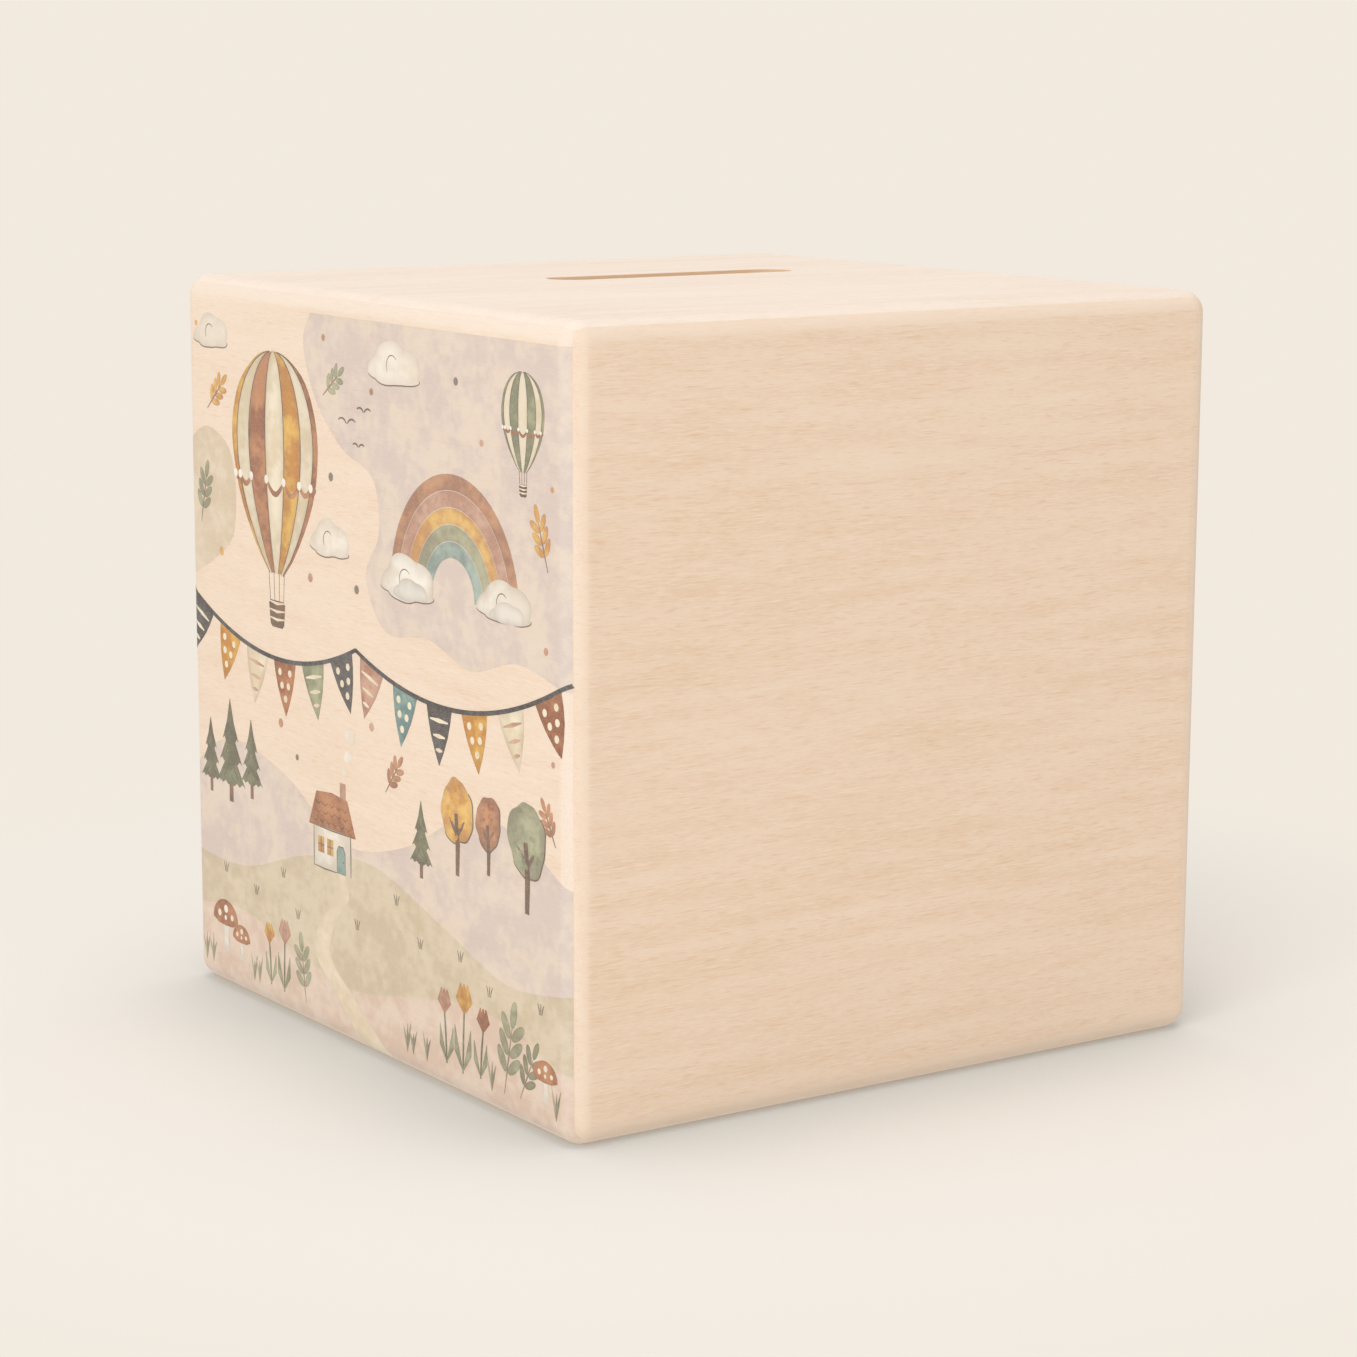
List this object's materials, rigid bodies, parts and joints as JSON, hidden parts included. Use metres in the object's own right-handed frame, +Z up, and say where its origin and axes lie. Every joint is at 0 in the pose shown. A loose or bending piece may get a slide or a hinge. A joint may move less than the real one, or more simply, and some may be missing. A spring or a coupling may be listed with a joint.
{
  "type": "wooden money box",
  "caption": "Cube-shaped money box of mitred beech boards with rounded edges, a coin slot in the top, a printed nursery design on the front and a soft stopper in the base.",
  "frame": {"origin": "middle of the box's underside, on the surface that it stands on", "axes": "+Z up, the printed front board faces -Y, the plain right board faces +X"},
  "size_m": [0.1, 0.1, 0.1],
  "materials": {
    "beech": "fine-sanded pale beech with a clear matt finish",
    "stopper_rubber": "matt, dark grey soft rubber"
  },
  "bodies": {
    "box": {"top_panel": "beech", "base_panel": "beech", "front_panel": "beech", "back_panel": "beech", "left_panel": "beech", "right_panel": "beech"},
    "stopper": {"stopper": "stopper_rubber"}
  },
  "joints": [
    {"name": "stopper_pull", "type": "slide", "parent": "box", "child": "stopper", "axis": [0, 0, -1], "range_m": [0, 0.03]}
  ]
}
